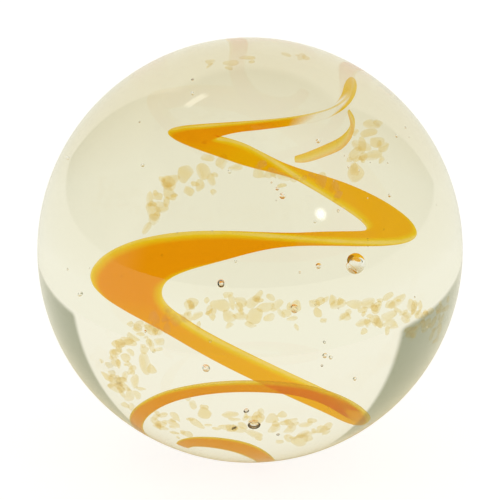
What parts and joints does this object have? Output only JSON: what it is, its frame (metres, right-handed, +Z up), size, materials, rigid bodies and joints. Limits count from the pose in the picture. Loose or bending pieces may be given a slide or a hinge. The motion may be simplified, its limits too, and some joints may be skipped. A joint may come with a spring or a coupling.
{
  "type": "glass marble",
  "caption": "Clear glass ball with a wound translucent orange ribbon, a thin yellow trail, cream glass crumbs and small air bubbles sealed inside.",
  "frame": {"origin": "centre of the ball", "axes": "+Z up through the top of the ball, -Z through the point it rests on, -Y towards the front"},
  "size_m": [0.025, 0.025, 0.025],
  "materials": {
    "clear_glass": "fire polished, clear with a faint straw tint",
    "orange_glass": "translucent orange art glass, sealed under clear glass",
    "yellow_glass": "thin translucent yellow glass, sealed under clear glass",
    "cream_glass": "crushed cream glass, sealed under clear glass"
  },
  "bodies": {
    "root": {"clear_glass": "clear_glass", "orange_ribbon": "orange_glass", "yellow_wisp": "yellow_glass", "cream_chips": "cream_glass"}
  },
  "joints": []
}
